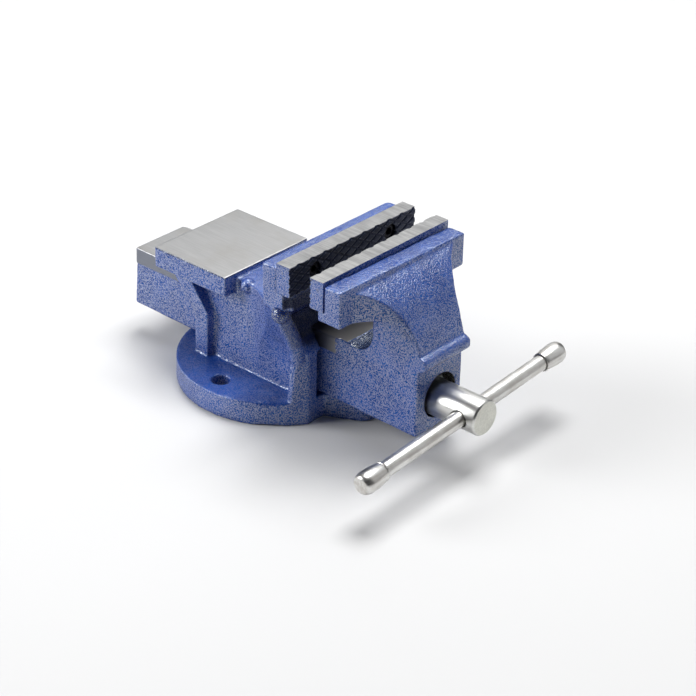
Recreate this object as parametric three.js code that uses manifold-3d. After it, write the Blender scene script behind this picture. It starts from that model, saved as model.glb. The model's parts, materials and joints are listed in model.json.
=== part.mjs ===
// Bench vise with a fixed round base, an anvil pad and 100 mm jaws.
// Millimetres, +Z up, +X towards the handle. The origin is the centre of the
// round base, on the plane of its underside.

import * as THREE from 'three';
import { mergeVertices } from 'three/addons/utils/BufferGeometryUtils.js';
import Module from 'manifold-3d';

const wasm = await Module();
wasm.setup();

// ---- driving dimensions ----

const GAP = 0.3;                 // clearance left between pieces that touch
const BITE = 1;                  // how far joined blocks run into each other, and cuts past a face
const CUT_PAST = 5;              // the same for cuts that pass right through the part
const ARC_STEPS = 14;            // straight steps used for each drawn arc
const RIM_STEPS = 36;            // steps for half of the base's rim
const POST_RIM_SIDES = 88;       // sides of the full circle the front posts follow
const BORE_STEPS = 32;           // sides of a round hole or shaft
const WIDE_STEPS = 48;           // sides of the throat and the counterbore
const SMALL_STEPS = 24;          // sides of screws, bolts and washers
const PIN_STEPS = 16;            // sides of the cross pin and its hole

// base
const BASE_RADIUS = 57;
const BASE_HEIGHT = 14;
const FRONT_X = 49.2;            // flat front of the body
const TONGUE_ROOT = 17;          // half width where the front tongue leaves the body
const TONGUE_TIP_X = 62.5;
const TONGUE_TIP_RADIUS = 9.2;
const SIDE_BOLT_Y = 43.8;
const SIDE_BOLT_X = -2;
const FRONT_BOLT_X = 59;
const BOLT_HOLE = 5.2;           // radius

// body walls and tunnel
const WALL_FOOT = 27.5;          // half widths of the side walls
const WALL_HEAD = 24;
const WALL_REAR = -34.4;
const REAR_SLOPE_Z = 39;
const REAR_SLOPE_X = -52;
const RIB_WIDTH = 10;            // along X, at the foot of the rear ribs
const RIB_TOP_WIDTH = 14;
const RIB_BEND_RISE = 2;         // the rib's inner bend is this much above its outer one
const RIB_OUT = 31.2;
const TUNNEL_HALF = 19.7;
const TUNNEL_LOW_HALF = 22.2;
const TUNNEL_STEP_Z = 42.5;
const TUNNEL_TOP = 54.1;

// anvil pad
const PAD_REAR = -63.2;
const PAD_FRONT = -8.8;
const PAD_HALF = 33.1;
const PAD_BOTTOM = 57.6;
const PAD_TOP = 69.7;
const PAD_UNDERCUT = 3;          // the block below the pad stops this far short of its rear edge

// fixed jaw
const JAW_HALF = 50;
const JAW_TOP = 104.5;
const GRIP_X = 54;               // working face of the fixed jaw plate
const HEAD_REAR = 34.5;
const HEAD_TOP = 101.6;
const HEAD_FOOT = 76;
const HEAD_CORNER = 3;           // rounding of the jaw's far rear corner
const NECK_TOP = 66.5;
const NECK_FILLET = 18;
const FRAME_REAR = 36.2;
const FRAME_FOOT = 27.4;         // half width of the front frame at the base
const FRAME_FLARE_Z = 28;
const FRAME_FLARE_RADIUS = 42;
const FRAME_FLARE_ANGLE = 0.513; // radians the frame's sides lean outwards
const POST_HALF = 36.5;          // half width over the front posts at the base
const POST_REAR = 39.8;
const POST_CORNER = 6.5;         // rounding of the posts' front edges
const POST_STRAIGHT_Z = 18;
const POST_TOP_HALF = 34.4;
const POST_TOP_Z = 48.6;
const BOSS_X = 43.4;             // round boss at the top of each front post
const BOSS_Y = 45.7;
const BOSS_Z = 72.8;
const BOSS_RADIUS = 4.8;
const RIDGE_PATH = [             // the round ridge from the boss down into the post
  [BOSS_X, BOSS_Y, BOSS_Z],
  [43.8, 38.3, 58.4],
  [43.9, 33.2, 46.6],
  [43.2, 31.6, 40],
];
const RIDGE_RADIUS = 4.7;
const WEB_X = 42.3;              // front of the wall between the posts, above the tunnel
const WEB_FOOT_Z = 43.6;         // it leans back from here
const WEB_LOW_Z = 54.4;
const WEB_HIGH_Z = 67;           // and forward again to the ledge from here
const LUMP_X = -1;               // small cast lump on each edge of the neck
const LUMP_RADIUS = 4.2;
const LUMP_INSET = 0.6;
const LUMP_DROP = 2.2;
const BALL_SIDES = 16;
const BALL_BANDS = 10;
const RIDGE_SIDES = 20;
const LEDGE_HALF = 45;
const LEDGE_BOTTOM = 76;
const LEDGE_SET_BACK = 3.1;      // the ledge under the plate stops short of the grip
const FLARE_CENTRE_X = -6;       // plan arc that widens the neck to the jaw
const FLARE_RADIUS = 42;

// jaw plates
const PLATE_THICK = 9.2;
const PLATE_HEIGHT = 17.2;
const PLATE_SEAT = JAW_TOP - PLATE_HEIGHT - GAP; // top of the casting under the plates
const PLATE_BOLT_Y = 29.9;
const PLATE_BOLT_Z = 96.4;
const JAW_OPENING = 13.5;
const PLATE_COUNTERBORE = 4.6;   // radius
const PLATE_COUNTERBORE_DEPTH = 6.5;

// the screws that hold the jaw plates
const PLATE_SCREW_RADIUS = 2.5;
const PLATE_SCREW_BORE = 2.85;   // radius of every bore they pass
const PLATE_SCREW_HEAD = 4.2;    // radius
const PLATE_SCREW_HEAD_LENGTH = 4.5;
const PLATE_SCREW_LENGTH = 11;   // below the head
const SOCKET_RADIUS = 2.3;
const SOCKET_DEPTH = 2.6;
const HEX_SIDES = 6;
const FIXED_BORE_WALL = 2;       // iron left behind the screw bores of the fixed jaw
const MOVING_BORE_WALL = 1.4;    // and of the moving jaw

// moving jaw
const PLATE_BACK_GAP = 0.8;
const MOVING_GRIP_X = GRIP_X + JAW_OPENING;
const MOVING_SEAT_X = MOVING_GRIP_X + PLATE_THICK + PLATE_BACK_GAP;
const MOVING_FRONT = 88.4;
const MOVING_TOP_NEAR = 102.6;
const MOVING_TOP_FAR = 100.8;
const MOVING_BOTTOM = 81.5;
const MOVING_LEDGE_X = 73;
const SHOULDER_RADIUS = 56.4;
const SHOULDER_X = 61;
const SHOULDER_Z = 49.8;
const ARMPIT_RADIUS = 20.8;
const ARMPIT_X = 93;
const ARMPIT_Z = 60.8;
const ARMPIT_END_ANGLE = 0.02;   // radians, where the under curve stops above the beam
const FLANK_RADIUS = 47.4;
const FLANK_X = 130.5;
const FLANK_Y = 62.5;
const BEAD_X = 116;
const BEAD_Z = 58.7;
const BEAD_RADIUS = 4.3;
const BEAD_HALF = 18.6;
const FLANK_END_X = BEAD_X + 2;  // the flank arcs run on to here
const THROAT_X = 72.5;
const THROAT_Z = 62.5;
const THROAT_RADIUS = 10.3;
const COLUMN_REAR = 82.6;

// beam
const BEAM_REAR = -92.7;
const BEAM_FOOT_REAR = -95.5;    // the rear end leans back towards its foot
const BEAM_FRONT = 114.8;
const BEAM_TOP = 53.7;
const BEAM_HALF = 18.4;
const BEAM_BOTTOM_REAR = 17;
const BEAM_BOTTOM_FRONT = 14.4;
const RAIL_HALF = 19.3;
const RAIL_BOTTOM = 44;
const RAIL_FRONT = 61.4;
const RAIL_CORNER = 3.5;
const CHANNEL_HALF = 11.8;
const CHANNEL_TOP = 45.7;
const CHANNEL_FRONT = 96;

// lead screw
const AXIS_Z = 31.6;
const SCREW_RADIUS = 8;
const SCREW_REAR = -84;
const SHAFT_CLEARANCE = 8.4;     // radius of every bore the screw passes
const HEAD_RADIUS = 10.1;
const SHOULDER_FACE_X = 108.4;
const SCREW_FRONT = 146.2;
const COUNTERBORE_RADIUS = 12.7;
const COUNTERBORE_Y = 1.5;       // the cast recess is a little off the screw's axis
const COUNTERBORE_Z = 32.4;
const COUNTERBORE_X = 105.8;
const WASHER_THICK = 2;
const THRUST_RADIUS = 10.5;      // the washer under the screw's head
const CROSS_HOLE_RADIUS = 5;
const BAR_X = 135.8;
const BAR_TILT = 3.6 * Math.PI / 180;
const HEAD_EDGE = 0.7;           // chamfer on the screw's head
const SCREW_END_CHAMFER = 2;
const TURNED_STEPS = 40;         // sides of the screw

// handle bar
const BAR_RADIUS = 4.4;
const BAR_LENGTH = 164;
const BAR_SHIFT = -4.4;          // the bar hangs a little towards its near end
const CAP_LENGTH = 17;
const CAP_RADIUS = 6.2;
const CAP_MOUTH_RADIUS = 5.3;
const CAP_END_RADIUS = 4.3;
const CAP_BORE_DEPTH = 12;
const CAP_ROUND = 5;             // length of the rounded end
const CAP_ROUND_ANGLE = 1.15;
const CAP_LIP = 1.6;             // where the swell starts
const CAP_SEAM_RISE = 0.15;
const CAP_SEAM_LENGTH = 0.8;
const CAP_END_FALL = 0.1;        // how far the rounded end stops short of the flat
const CAP_STEPS = 5;
const CAP_SIDES = 28;

// retaining set behind the front wall
const COLLAR_REAR = 73.9;
const COLLAR_LENGTH = 8;
const COLLAR_RADIUS = 11.3;
const PIN_RADIUS = 1.9;
const PIN_HOLE_RADIUS = 2.25;
const PIN_INSET = 0.2;           // the pin's ends sit this far below the collar
const RETAINER_REAR = 82.2;
const RETAINER_RADIUS = 11.2;
const SPRING_REAR = 84.6;
const SPRING_FRONT = 95.6;
const SPRING_MEAN = 10;
const SPRING_WIRE = 1;
const SPRING_TURNS = 3.5;
const SPRING_STEPS = 48;
const WIRE_STEPS = 3;            // per quarter of the wire's round section

// nut and its bolts
const NUT_REAR = 8;
const NUT_FRONT = 40;
const NUT_HALF = 11.4;
const NUT_BOLT_XS = [14.5, 33.5];
const NUT_BOLT_RADIUS = 4;
const NUT_BOLT_BORE = 4.5;       // radius of the hole through the base
const NUT_BOLT_TOP = 21.2;
const NUT_BOLT_HEAD_RADIUS = 7.5;
const NUT_BOLT_HEAD_LOW = 0.8;
const NUT_BOLT_HEAD_HIGH = 6;
const NUT_WASHER_RADIUS = 8;
const RECESS_RADIUS = 8.5;
const RECESS_TOP = 8;

// ---- drawing and solid helpers ----

// A drawn outline: each entry is a point, or an arc [cx, cy, radius, from, to] in radians.
function outline(entries, arcSteps = ARC_STEPS) {
  const points = [];
  for (const entry of entries) {
    if (entry.length === 2) {
      points.push(new THREE.Vector2(entry[0], entry[1]));
      continue;
    }
    const [cx, cy, radius, from, to] = entry;
    for (let step = 0; step <= arcSteps; step++) {
      const angle = from + (to - from) * step / arcSteps;
      points.push(new THREE.Vector2(cx + radius * Math.cos(angle), cy + radius * Math.sin(angle)));
    }
  }
  return new THREE.Shape(points);
}

function toSolid(geometry) {
  const bare = geometry.clone();
  bare.deleteAttribute('normal');
  bare.deleteAttribute('uv');
  const merged = mergeVertices(bare, 1e-5);
  return new wasm.Manifold(new wasm.Mesh({
    numProp: 3,
    vertProperties: new Float32Array(merged.attributes.position.array),
    triVerts: new Uint32Array(merged.index.array),
  }));
}

function extruded(shape, depth) {
  return new THREE.ExtrudeGeometry(shape, { depth, bevelEnabled: false, curveSegments: ARC_STEPS });
}

// An outline in X and Y, standing from low to high in Z.
function alongZ(shape, low, high) {
  return toSolid(extruded(shape, high - low).translate(0, 0, low));
}

// An outline in X and Z, running from low to high in Y.
function alongY(shape, low, high) {
  return toSolid(extruded(shape, high - low).rotateX(Math.PI / 2).translate(0, high, 0));
}

// An outline in Y and Z, running from low to high in X.
function alongX(shape, low, high) {
  const turn = new THREE.Matrix4().makeBasis(
    new THREE.Vector3(0, 1, 0),
    new THREE.Vector3(0, 0, 1),
    new THREE.Vector3(1, 0, 0),
  );
  return toSolid(extruded(shape, high - low).applyMatrix4(turn).translate(low, 0, 0));
}

function box(x0, x1, y0, y1, z0, z1) {
  const geometry = new THREE.BoxGeometry(x1 - x0, y1 - y0, z1 - z0);
  return toSolid(geometry.translate((x0 + x1) / 2, (y0 + y1) / 2, (z0 + z1) / 2));
}

function rodZ(radius, x, y, low, high, sides = BORE_STEPS) {
  const geometry = new THREE.CylinderGeometry(radius, radius, high - low, sides);
  return toSolid(geometry.rotateX(Math.PI / 2).translate(x, y, (low + high) / 2));
}

function rodX(radius, low, high, y, z, sides = BORE_STEPS) {
  const geometry = new THREE.CylinderGeometry(radius, radius, high - low, sides);
  return toSolid(geometry.rotateZ(-Math.PI / 2).translate((low + high) / 2, y, z));
}

// A rod along X between two ends given in either order.
function spanX(radius, a, b, y, z, sides = BORE_STEPS) {
  return rodX(radius, Math.min(a, b), Math.max(a, b), y, z, sides);
}

function rodY(radius, x, z, low, high, sides = BORE_STEPS) {
  const geometry = new THREE.CylinderGeometry(radius, radius, high - low, sides);
  return toSolid(geometry.translate(x, (low + high) / 2, z));
}

function ball(radius, x, y, z) {
  return toSolid(new THREE.SphereGeometry(radius, BALL_SIDES, BALL_BANDS).translate(x, y, z));
}

// A turned piece: [distance along X, radius] pairs, spun about the line y = 0, z = AXIS_Z.
function turnedAlongX(profile, sides = BORE_STEPS) {
  const points = profile.map(([x, radius]) => new THREE.Vector2(radius, x));
  const geometry = new THREE.LatheGeometry(points, sides);
  return toSolid(geometry.rotateZ(-Math.PI / 2).translate(0, 0, AXIS_Z));
}

function ring(outer, inner, low, high) {
  return rodX(outer, low, high, 0, AXIS_Z).subtract(rodX(inner, low - BITE, high + BITE, 0, AXIS_Z));
}

function named(name, solid, material) {
  const made = solid.getMesh();
  const geometry = new THREE.BufferGeometry();
  geometry.setAttribute('position', new THREE.BufferAttribute(new Float32Array(made.vertProperties), 3));
  geometry.setIndex(new THREE.BufferAttribute(new Uint32Array(made.triVerts), 1));
  geometry.computeVertexNormals();
  const mesh = new THREE.Mesh(geometry, material.clone());
  mesh.name = name;
  return mesh;
}

// ---- materials ----

const BLUE_PAINT = new THREE.MeshStandardMaterial({ color: 0x3b58a6, roughness: 0.4, metalness: 0.3 });
const PLATE_STEEL = new THREE.MeshStandardMaterial({ color: 0x77756f, roughness: 0.45, metalness: 0.9 });
const DARK_STEEL = new THREE.MeshStandardMaterial({ color: 0x2c2d31, roughness: 0.55, metalness: 0.8 });
const BRIGHT_ZINC = new THREE.MeshStandardMaterial({ color: 0xc8c9c6, roughness: 0.2, metalness: 1 });
const NUT_IRON = new THREE.MeshStandardMaterial({ color: 0x5c5a57, roughness: 0.6, metalness: 0.7 });

// ---- body casting ----

function baseSolid() {
  const frontAngle = Math.acos(FRONT_X / BASE_RADIUS);
  const disc = alongZ(outline([
    [0, 0, BASE_RADIUS, frontAngle, 2 * Math.PI - frontAngle],
  ], 2 * RIM_STEPS), 0, BASE_HEIGHT);
  const lean = Math.atan2(TONGUE_ROOT - TONGUE_TIP_RADIUS, TONGUE_TIP_X - FRONT_X);
  const side = Math.PI / 2 - lean;
  const tongue = alongZ(outline([
    [FRONT_X - BITE, -TONGUE_ROOT],
    [FRONT_X, -TONGUE_ROOT],
    [TONGUE_TIP_X, 0, TONGUE_TIP_RADIUS, -side, side],
    [FRONT_X, TONGUE_ROOT],
    [FRONT_X - BITE, TONGUE_ROOT],
  ]), 0, BASE_HEIGHT);
  return disc.add(tongue);
}

function wallSolid() {
  const side = alongY(outline([
    [WALL_REAR, BASE_HEIGHT - BITE],
    [FRAME_REAR + BITE, BASE_HEIGHT - BITE],
    [FRAME_REAR + BITE, PAD_BOTTOM + BITE],
    [REAR_SLOPE_X, PAD_BOTTOM + BITE],
    [WALL_REAR, REAR_SLOPE_Z],
  ]), -WALL_FOOT, WALL_FOOT);
  const lean = alongX(outline([
    [-WALL_FOOT, BASE_HEIGHT - BITE],
    [WALL_FOOT, BASE_HEIGHT - BITE],
    [WALL_HEAD, PAD_BOTTOM + BITE],
    [-WALL_HEAD, PAD_BOTTOM + BITE],
  ]), REAR_SLOPE_X - BITE, FRAME_REAR + BITE);
  return side.intersect(lean);
}

function rearRibsSolid() {
  return alongY(outline([
    [WALL_REAR, BASE_HEIGHT - BITE],
    [WALL_REAR + RIB_WIDTH, BASE_HEIGHT - BITE],
    [WALL_REAR + RIB_WIDTH, REAR_SLOPE_Z + RIB_BEND_RISE],
    [REAR_SLOPE_X + RIB_TOP_WIDTH, PAD_BOTTOM + BITE],
    [REAR_SLOPE_X, PAD_BOTTOM + BITE],
    [WALL_REAR, REAR_SLOPE_Z],
  ]), -RIB_OUT, RIB_OUT);
}

// The anvil pad, and the narrower block under it that roofs the tunnel.
function padSolid() {
  const pad = box(PAD_REAR, PAD_FRONT, -PAD_HALF, PAD_HALF, PAD_BOTTOM, PAD_TOP);
  const roofRear = PAD_REAR + PAD_UNDERCUT;
  return pad.add(box(roofRear, PAD_FRONT, -WALL_HEAD, WALL_HEAD, TUNNEL_TOP, PAD_BOTTOM + BITE));
}

// Half outline of the front frame, seen from the front, from the floor up to the jaw.
function frameSide() {
  const bendY = FRAME_FOOT + FRAME_FLARE_RADIUS * (1 - Math.cos(FRAME_FLARE_ANGLE));
  const bendZ = FRAME_FLARE_Z + FRAME_FLARE_RADIUS * Math.sin(FRAME_FLARE_ANGLE);
  const topZ = bendZ + (JAW_HALF - bendY) / Math.tan(FRAME_FLARE_ANGLE);
  const points = [];
  for (let step = 0; step <= ARC_STEPS; step++) {
    const angle = FRAME_FLARE_ANGLE * step / ARC_STEPS;
    points.push([
      FRAME_FOOT + FRAME_FLARE_RADIUS * (1 - Math.cos(angle)),
      FRAME_FLARE_Z + FRAME_FLARE_RADIUS * Math.sin(angle),
    ]);
  }
  points.push([JAW_HALF, topZ]);
  return points;
}

function mirroredFront(side, low, high) {
  const right = [[side[0][0], low], ...side, [JAW_HALF, high]];
  const left = right.map(([y, z]) => [-y, z]).reverse();
  return outline([...right, ...left]);
}

function frameSolid() {
  return alongX(mirroredFront(frameSide(), 0, PLATE_SEAT), FRAME_REAR, FRONT_X);
}

// The hollow across the front of the frame, between the tunnel and the ledge.
function webHollowSolid() {
  return alongY(outline([
    [FRONT_X, WEB_FOOT_Z],
    [FRONT_X + CUT_PAST, WEB_FOOT_Z],
    [FRONT_X + CUT_PAST, LEDGE_BOTTOM],
    [FRONT_X, LEDGE_BOTTOM],
    [WEB_X, WEB_HIGH_Z],
    [WEB_X, WEB_LOW_Z],
  ]), -JAW_HALF - CUT_PAST, JAW_HALF + CUT_PAST);
}

// The round ridge on one post, made of rods between the points of its path.
function ridgeSolid(side) {
  const points = RIDGE_PATH.map(([x, y, z]) => new THREE.Vector3(x, side * y, z));
  let ridge = ball(BOSS_RADIUS, points[0].x, points[0].y, points[0].z);
  for (let index = 1; index < points.length; index++) {
    const top = points[index - 1];
    const foot = points[index];
    const along = top.clone().sub(foot);
    const turn = new THREE.Quaternion().setFromUnitVectors(new THREE.Vector3(0, 1, 0), along.clone().normalize());
    const middle = top.clone().add(foot).multiplyScalar(0.5);
    const rod = new THREE.CylinderGeometry(RIDGE_RADIUS, RIDGE_RADIUS, along.length(), RIDGE_SIDES);
    ridge = ridge.add(toSolid(rod.applyQuaternion(turn).translate(middle.x, middle.y, middle.z)));
    ridge = ridge.add(ball(RIDGE_RADIUS, foot.x, foot.y, foot.z));
  }
  return ridge;
}

// The two posts at the front of the body: they stand on the rim of the base, follow its
// circle and lean in to meet the flared frame, where a round boss ends them.
function postsSolid() {
  const front = alongX(outline([
    [-POST_HALF, 0],
    [POST_HALF, 0],
    [POST_HALF, POST_STRAIGHT_Z],
    [POST_TOP_HALF, POST_TOP_Z],
    [-POST_TOP_HALF, POST_TOP_Z],
    [-POST_HALF, POST_STRAIGHT_Z],
  ]), POST_REAR, FRONT_X);
  const rim = rodZ(BASE_RADIUS, 0, 0, -BITE, POST_TOP_Z + BITE, POST_RIM_SIDES);
  const cornerX = FRONT_X - POST_CORNER;
  const cornerY = POST_HALF - POST_CORNER;
  const plan = alongZ(outline([
    [POST_REAR, -POST_HALF],
    [cornerX, -cornerY, POST_CORNER, -Math.PI / 2, 0],
    [cornerX, cornerY, POST_CORNER, 0, Math.PI / 2],
    [POST_REAR, POST_HALF],
  ]), 0, POST_TOP_Z);
  return front.intersect(rim).intersect(plan);
}

// The neck between the anvil pad and the fixed jaw: one side view, one plan and one
// front view, each carried through the others.
function neckSolid() {
  const sideView = alongY(outline([
    [PAD_FRONT - BITE, BASE_HEIGHT - BITE],
    [FRONT_X, BASE_HEIGHT - BITE],
    [FRONT_X, PLATE_SEAT],
    [GRIP_X - PLATE_THICK - GAP, PLATE_SEAT],
    [GRIP_X - PLATE_THICK - GAP, NECK_TOP + NECK_FILLET],
    [HEAD_REAR - NECK_FILLET, NECK_TOP + NECK_FILLET, NECK_FILLET, 0, -Math.PI / 2],
    [PAD_FRONT - BITE, NECK_TOP],
  ]), -JAW_HALF, JAW_HALF);
  const flareY = WALL_HEAD + FLARE_RADIUS;
  const reach = Math.acos((flareY - JAW_HALF) / FLARE_RADIUS);
  const plan = alongZ(outline([
    [PAD_FRONT - BITE, -WALL_HEAD],
    [FLARE_CENTRE_X, -flareY, FLARE_RADIUS, Math.PI / 2, Math.PI / 2 - reach],
    [FRONT_X, -JAW_HALF],
    [FRONT_X, JAW_HALF],
    [FLARE_CENTRE_X, flareY, FLARE_RADIUS, reach - Math.PI / 2, -Math.PI / 2],
    [PAD_FRONT - BITE, WALL_HEAD],
  ]), BASE_HEIGHT - BITE, NECK_TOP + NECK_FILLET);
  const sides = mirroredFront(frameSide(), 0, NECK_TOP + NECK_FILLET + BITE);
  const front = alongX(sides, PAD_FRONT - BITE, FRONT_X);
  return sideView.intersect(plan).intersect(front);
}

function fixedHeadSolid() {
  const backFace = GRIP_X - PLATE_THICK - GAP;
  const head = alongZ(outline([
    [HEAD_REAR, -JAW_HALF],
    [backFace, -JAW_HALF],
    [backFace, JAW_HALF],
    [HEAD_REAR + HEAD_CORNER, JAW_HALF - HEAD_CORNER, HEAD_CORNER, Math.PI / 2, Math.PI],
  ]), HEAD_FOOT, HEAD_TOP);
  const ledgeFront = GRIP_X - LEDGE_SET_BACK;
  const ledge = box(backFace - BITE, ledgeFront, -LEDGE_HALF, LEDGE_HALF, LEDGE_BOTTOM, PLATE_SEAT);
  return head.add(ledge);
}

function tunnelSolid() {
  return alongX(outline([
    [-TUNNEL_LOW_HALF, BASE_HEIGHT],
    [TUNNEL_LOW_HALF, BASE_HEIGHT],
    [TUNNEL_LOW_HALF, TUNNEL_STEP_Z],
    [TUNNEL_HALF, TUNNEL_STEP_Z],
    [TUNNEL_HALF, TUNNEL_TOP],
    [-TUNNEL_HALF, TUNNEL_TOP],
    [-TUNNEL_HALF, TUNNEL_STEP_Z],
    [-TUNNEL_LOW_HALF, TUNNEL_STEP_Z],
  ]), PAD_REAR - CUT_PAST, FRONT_X + CUT_PAST);
}

function bodySolid() {
  let body = baseSolid().add(wallSolid()).add(rearRibsSolid()).add(frameSolid());
  body = body.add(padSolid()).add(neckSolid()).add(postsSolid()).subtract(webHollowSolid());
  body = body.add(fixedHeadSolid());
  for (const side of [-1, 1]) {
    body = body.add(ridgeSolid(side));
    body = body.add(ball(LUMP_RADIUS, LUMP_X, side * (WALL_HEAD - LUMP_INSET), NECK_TOP - LUMP_DROP));
  }
  body = body.subtract(tunnelSolid());
  for (const y of [-SIDE_BOLT_Y, SIDE_BOLT_Y]) {
    body = body.subtract(rodZ(BOLT_HOLE, SIDE_BOLT_X, y, -BITE, BASE_HEIGHT + BITE));
  }
  body = body.subtract(rodZ(BOLT_HOLE, FRONT_BOLT_X, 0, -BITE, BASE_HEIGHT + BITE));
  for (const x of NUT_BOLT_XS) {
    body = body.subtract(rodZ(RECESS_RADIUS, x, 0, -BITE, RECESS_TOP));
    body = body.subtract(rodZ(NUT_BOLT_BORE, x, 0, 0, BASE_HEIGHT + BITE));
  }
  for (const y of [-PLATE_BOLT_Y, PLATE_BOLT_Y]) {
    body = body.subtract(rodX(PLATE_SCREW_BORE, HEAD_REAR + FIXED_BORE_WALL, GRIP_X, y, PLATE_BOLT_Z));
  }
  return body;
}

// ---- jaw plates and their screws ----

// A jaw plate whose working face is at gripX; inward is the way from there into the jaw.
function jawPlateSolid(gripX, inward) {
  const back = gripX + inward * PLATE_THICK;
  const low = Math.min(gripX, back);
  const high = Math.max(gripX, back);
  let plate = box(low, high, -JAW_HALF, JAW_HALF, JAW_TOP - PLATE_HEIGHT, JAW_TOP);
  const mouth = gripX - inward * BITE;
  const floor = gripX + inward * PLATE_COUNTERBORE_DEPTH;
  for (const y of [-PLATE_BOLT_Y, PLATE_BOLT_Y]) {
    plate = plate.subtract(spanX(PLATE_COUNTERBORE, mouth, floor, y, PLATE_BOLT_Z));
    plate = plate.subtract(spanX(PLATE_SCREW_BORE, mouth, back + inward * BITE, y, PLATE_BOLT_Z));
  }
  return plate;
}

function plateScrewSolid(gripX, inward, y) {
  const under = gripX + inward * (PLATE_COUNTERBORE_DEPTH - GAP);
  const face = under - inward * PLATE_SCREW_HEAD_LENGTH;
  const end = under + inward * PLATE_SCREW_LENGTH;
  const head = spanX(PLATE_SCREW_HEAD, face, under, y, PLATE_BOLT_Z, SMALL_STEPS);
  const shank = spanX(PLATE_SCREW_RADIUS, under - inward * BITE, end, y, PLATE_BOLT_Z, SMALL_STEPS);
  const socketFloor = face + inward * SOCKET_DEPTH;
  const socket = spanX(SOCKET_RADIUS, face - inward * BITE, socketFloor, y, PLATE_BOLT_Z, HEX_SIDES);
  return head.add(shank).subtract(socket);
}

// ---- moving jaw and beam ----

function beamSolid() {
  const profile = outline([
    [BEAM_FOOT_REAR, BEAM_BOTTOM_REAR],
    [BEAM_FRONT, BEAM_BOTTOM_FRONT],
    [BEAM_FRONT, BEAD_Z],
    [COLUMN_REAR, BEAD_Z],
    [COLUMN_REAR, BEAM_TOP],
    [BEAM_REAR, BEAM_TOP],
  ]);
  const body = alongY(profile, -BEAM_HALF, BEAM_HALF);
  const rails = alongZ(outline([
    [BEAM_REAR, -RAIL_HALF],
    [RAIL_FRONT, -RAIL_HALF],
    [RAIL_FRONT, RAIL_HALF],
    [BEAM_REAR + RAIL_CORNER, RAIL_HALF - RAIL_CORNER, RAIL_CORNER, Math.PI / 2, Math.PI],
  ]), RAIL_BOTTOM, BEAM_TOP);
  return body.add(rails);
}

function shoulderSolid() {
  const frontAngle = Math.asin((BEAD_Z - SHOULDER_Z) / SHOULDER_RADIUS);
  const headAngle = Math.acos((MOVING_FRONT - BITE - SHOULDER_X) / SHOULDER_RADIUS);
  const sideView = alongY(outline([
    [MOVING_FRONT - BITE, MOVING_BOTTOM],
    [ARMPIT_X, ARMPIT_Z, ARMPIT_RADIUS, Math.PI / 2, ARMPIT_END_ANGLE],
    [SHOULDER_X, SHOULDER_Z, SHOULDER_RADIUS, frontAngle, headAngle],
  ]), -JAW_HALF, JAW_HALF);
  const reach = Math.asin((FLANK_X - MOVING_FRONT + BITE) / FLANK_RADIUS);
  const tip = Math.asin((FLANK_X - FLANK_END_X) / FLANK_RADIUS);
  const plan = alongZ(outline([
    [FLANK_X, -FLANK_Y, FLANK_RADIUS, Math.PI / 2 + reach, Math.PI / 2 + tip],
    [FLANK_X, FLANK_Y, FLANK_RADIUS, -Math.PI / 2 - tip, -Math.PI / 2 - reach],
  ]), ARMPIT_Z - CUT_PAST, MOVING_TOP_NEAR);
  return sideView.intersect(plan);
}

// The post that joins the beam to the jaw above it, with the hollow curve of the throat.
function columnSolid() {
  const frontAngle = Math.asin((BEAD_Z - SHOULDER_Z) / SHOULDER_RADIUS);
  const headAngle = Math.acos((MOVING_FRONT - SHOULDER_X) / SHOULDER_RADIUS);
  return alongY(outline([
    [THROAT_X, BEAM_TOP - BITE],
    [BEAM_FRONT, BEAM_TOP - BITE],
    [SHOULDER_X, SHOULDER_Z, SHOULDER_RADIUS, frontAngle, headAngle],
    [MOVING_FRONT - BITE, MOVING_BOTTOM + BITE],
    [COLUMN_REAR, MOVING_BOTTOM + BITE],
    [COLUMN_REAR, THROAT_Z],
    [THROAT_X, THROAT_Z],
  ]), -BEAM_HALF, BEAM_HALF);
}

function movingHeadSolid() {
  const head = alongX(outline([
    [-JAW_HALF, MOVING_BOTTOM],
    [JAW_HALF, MOVING_BOTTOM],
    [JAW_HALF, MOVING_TOP_FAR],
    [-JAW_HALF, MOVING_TOP_NEAR],
  ]), MOVING_SEAT_X, MOVING_FRONT);
  const ledge = box(MOVING_LEDGE_X, MOVING_SEAT_X + BITE, -JAW_HALF, JAW_HALF, MOVING_BOTTOM, PLATE_SEAT);
  return head.add(ledge);
}

function throatSolid() {
  const reach = BEAM_HALF + CUT_PAST;
  return rodY(THROAT_RADIUS, THROAT_X, THROAT_Z, -reach, reach, WIDE_STEPS);
}

// The open channel under the beam, where the screw runs.
function channelSolid() {
  return box(BEAM_FOOT_REAR - BITE, CHANNEL_FRONT, -CHANNEL_HALF, CHANNEL_HALF, 0, CHANNEL_TOP);
}

function slideSolid() {
  let slide = beamSolid().add(columnSolid()).add(shoulderSolid()).add(movingHeadSolid());
  slide = slide.add(rodY(BEAD_RADIUS, BEAD_X, BEAD_Z, -BEAD_HALF, BEAD_HALF, SMALL_STEPS));
  slide = slide.subtract(throatSolid()).subtract(channelSolid());
  slide = slide.subtract(rodX(SHAFT_CLEARANCE, CHANNEL_FRONT - BITE, BEAM_FRONT + BITE, 0, AXIS_Z));
  slide = slide.subtract(rodX(
    COUNTERBORE_RADIUS, COUNTERBORE_X, BEAM_FRONT + BITE, COUNTERBORE_Y, COUNTERBORE_Z, WIDE_STEPS,
  ));
  const boreEnd = MOVING_FRONT - MOVING_BORE_WALL;
  for (const y of [-PLATE_BOLT_Y, PLATE_BOLT_Y]) {
    slide = slide.subtract(rodX(PLATE_SCREW_BORE, MOVING_SEAT_X - BITE, boreEnd, y, PLATE_BOLT_Z));
  }
  return slide;
}

// ---- screw, handle and the pieces on them ----

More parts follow.
